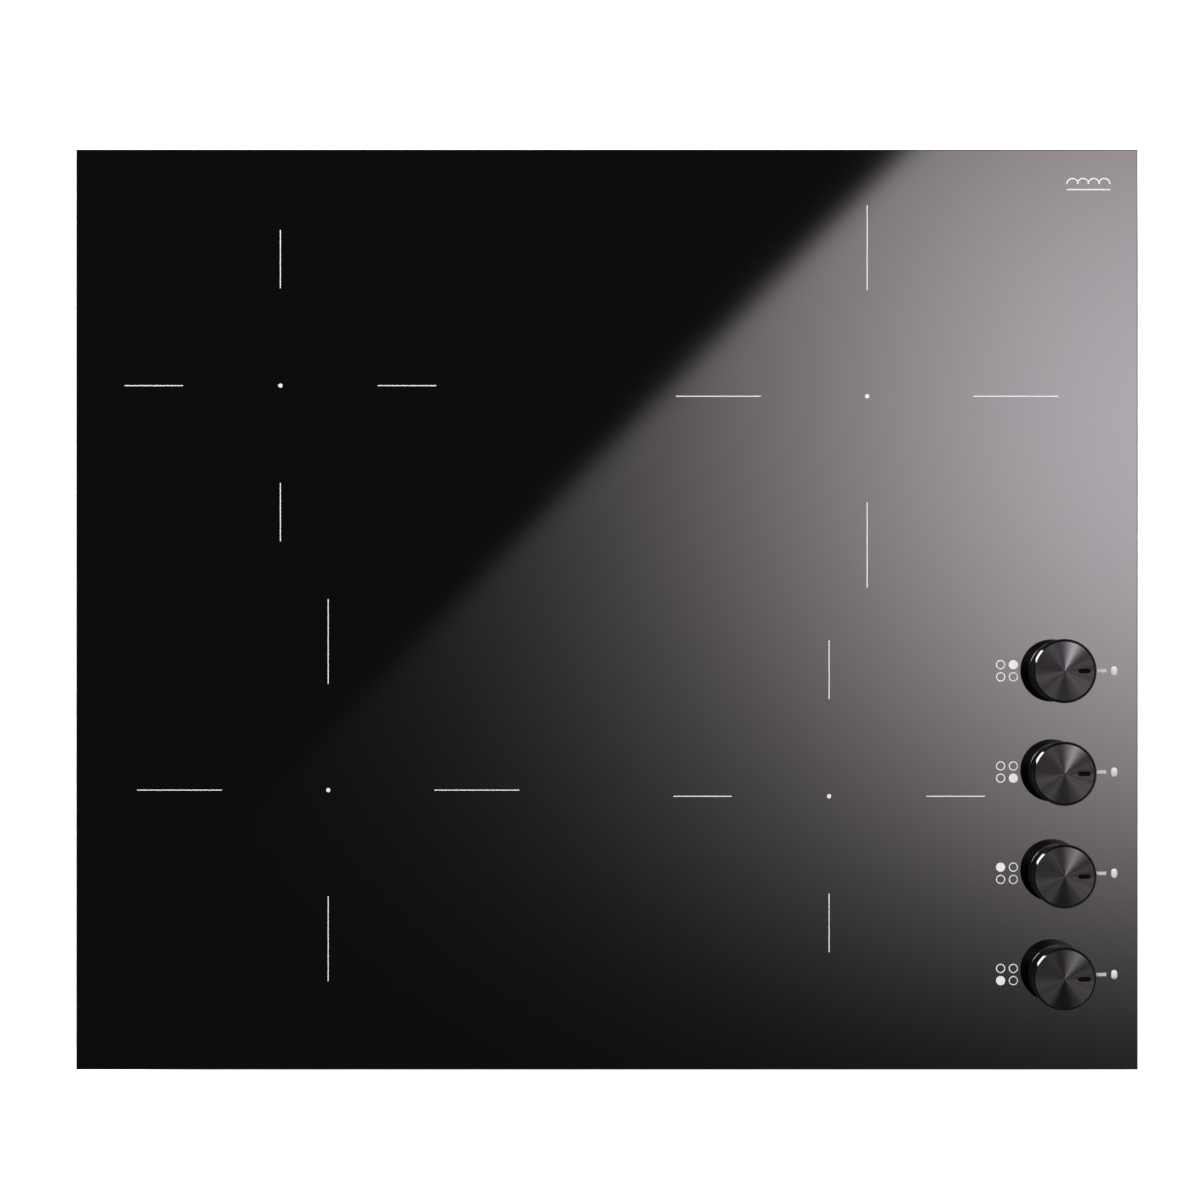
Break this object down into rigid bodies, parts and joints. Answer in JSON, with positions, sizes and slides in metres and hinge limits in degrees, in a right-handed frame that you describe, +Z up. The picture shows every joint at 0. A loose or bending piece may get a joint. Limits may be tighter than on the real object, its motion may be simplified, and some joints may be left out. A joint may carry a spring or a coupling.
{
  "type": "induction cooktop",
  "caption": "Built-in induction cooktop: black glass plate with printed cross zone marks, a row of round rotary knobs at the side and a slim vented steel casing below",
  "frame": {"origin": "middle of the casing's bottom face, at the middle of the glass plate's outline", "axes": "+X to the right as seen by the cook, +Y to the rear, +Z up through the glass"},
  "size_m": [0.6, 0.52, 0.078],
  "materials": {
    "black_glass": "black glass ceramic, polished, opaque from above",
    "white_enamel": "fired white enamel print",
    "gasket_foam": "closed cell foam tape",
    "silicone": "black silicone bead",
    "galvanised_sheet": "galvanised sheet steel, fine spangle",
    "aluminium_sheet": "mill finish sheet",
    "carrier_plastic": "glass filled plastic, matt",
    "copper_litz": "lacquered copper litz wire",
    "ferrite": "sintered ferrite, matt grey black",
    "ceramic_felt": "ceramic fibre felt",
    "sensor_silicone": "red brown silicone",
    "spring_steel": "bright spring steel",
    "lead_sleeve": "sleeved wire",
    "brass": "turned brass",
    "circuit_board": "green solder mask",
    "heatsink_aluminium": "extruded, natural",
    "component_black": "moulded epoxy",
    "capacitor_blue": "moulded capacitor case",
    "choke_core": "wound ring core, lacquered",
    "blower_plastic": "moulded black plastic",
    "rotor_plastic": "moulded plastic",
    "bracket_plastic": "moulded grey plastic",
    "encoder_metal": "plated steel",
    "knob_black": "gloss black moulded knob",
    "knob_spun_metal": "dark metal disc, spun finish",
    "seal_rubber": "black rubber",
    "terminal_plastic": "off white moulded plastic",
    "screw_steel": "zinc plated steel"
  },
  "bodies": {
    "casing": {"glass_top": "black_glass", "zone_markings": "white_enamel", "dial_markings": "white_enamel", "worktop_gasket": "gasket_foam", "glass_bond_bead": "silicone", "bottom_tray": "galvanised_sheet", "plate_rails": "galvanised_sheet", "left_coil_plate": "aluminium_sheet", "right_coil_plate": "aluminium_sheet", "coil_carrier_rear_left": "carrier_plastic", "coil_carrier_rear_right": "carrier_plastic", "coil_carrier_front_left": "carrier_plastic", "coil_carrier_front_right": "carrier_plastic", "winding_rear_left": "copper_litz", "winding_rear_right": "copper_litz", "winding_front_left": "copper_litz", "winding_front_right": "copper_litz", "ferrite_bars": "ferrite", "insulation_mats": "ceramic_felt", "temperature_sensors": "sensor_silicone", "carrier_springs": "spring_steel", "coil_leads": "lead_sleeve", "lead_terminals": "brass", "left_power_board": "circuit_board", "right_power_board": "circuit_board", "filter_board": "circuit_board", "left_heatsink": "heatsink_aluminium", "right_heatsink": "heatsink_aluminium", "power_semiconductors": "component_black", "film_capacitors": "capacitor_blue", "filter_chokes": "choke_core", "left_blower_housing": "blower_plastic", "right_blower_housing": "blower_plastic", "control_bracket": "bracket_plastic", "control_board": "circuit_board", "rotary_encoders": "encoder_metal", "knob_bezels": "knob_black", "shaft_seals": "seal_rubber", "terminal_housing": "terminal_plastic", "terminal_block": "terminal_plastic", "cable_clamp": "terminal_plastic", "cable_grommet": "seal_rubber", "fixing_springs": "spring_steel", "pan_head_screws": "screw_steel", "internal_wiring": "lead_sleeve"},
    "rear_right_knob": {"knob_rear_right": "knob_black", "knob_disc_rear_right": "knob_spun_metal", "encoder_shaft_rear_right": "encoder_metal"},
    "front_right_knob": {"knob_front_right": "knob_black", "knob_disc_front_right": "knob_spun_metal", "encoder_shaft_front_right": "encoder_metal"},
    "rear_left_knob": {"knob_rear_left": "knob_black", "knob_disc_rear_left": "knob_spun_metal", "encoder_shaft_rear_left": "encoder_metal"},
    "front_left_knob": {"knob_front_left": "knob_black", "knob_disc_front_left": "knob_spun_metal", "encoder_shaft_front_left": "encoder_metal"},
    "left_blower": {"left_blower_rotor": "rotor_plastic"},
    "right_blower": {"right_blower_rotor": "rotor_plastic"},
    "cover": {"terminal_cover": "terminal_plastic"}
  },
  "joints": [
    {"name": "rear_right_knob_turn", "type": "hinge", "parent": "casing", "child": "rear_right_knob", "pos_m": [0.2548, -0.0346, 0.0572], "axis": [0, 0, -1], "range_deg": [0, 280]},
    {"name": "front_right_knob_turn", "type": "hinge", "parent": "casing", "child": "front_right_knob", "pos_m": [0.2548, -0.0918, 0.0572], "axis": [0, 0, -1], "range_deg": [0, 280]},
    {"name": "rear_left_knob_turn", "type": "hinge", "parent": "casing", "child": "rear_left_knob", "pos_m": [0.2548, -0.149, 0.0572], "axis": [0, 0, -1], "range_deg": [0, 280]},
    {"name": "front_left_knob_turn", "type": "hinge", "parent": "casing", "child": "front_left_knob", "pos_m": [0.2548, -0.2062, 0.0572], "axis": [0, 0, -1], "range_deg": [0, 280]},
    {"name": "left_blower_spin", "type": "hinge", "parent": "casing", "child": "left_blower", "pos_m": [-0.14, 0.178, 0.008], "axis": [0, 0, 1], "continuous": true},
    {"name": "right_blower_spin", "type": "hinge", "parent": "casing", "child": "right_blower", "pos_m": [0.14, 0.178, 0.008], "axis": [0, 0, 1], "continuous": true},
    {"name": "cover_hinge", "type": "hinge", "parent": "casing", "child": "cover", "pos_m": [0, 0.184, 0.0026], "axis": [-1, 0, 0], "range_deg": [0, 95]}
  ]
}
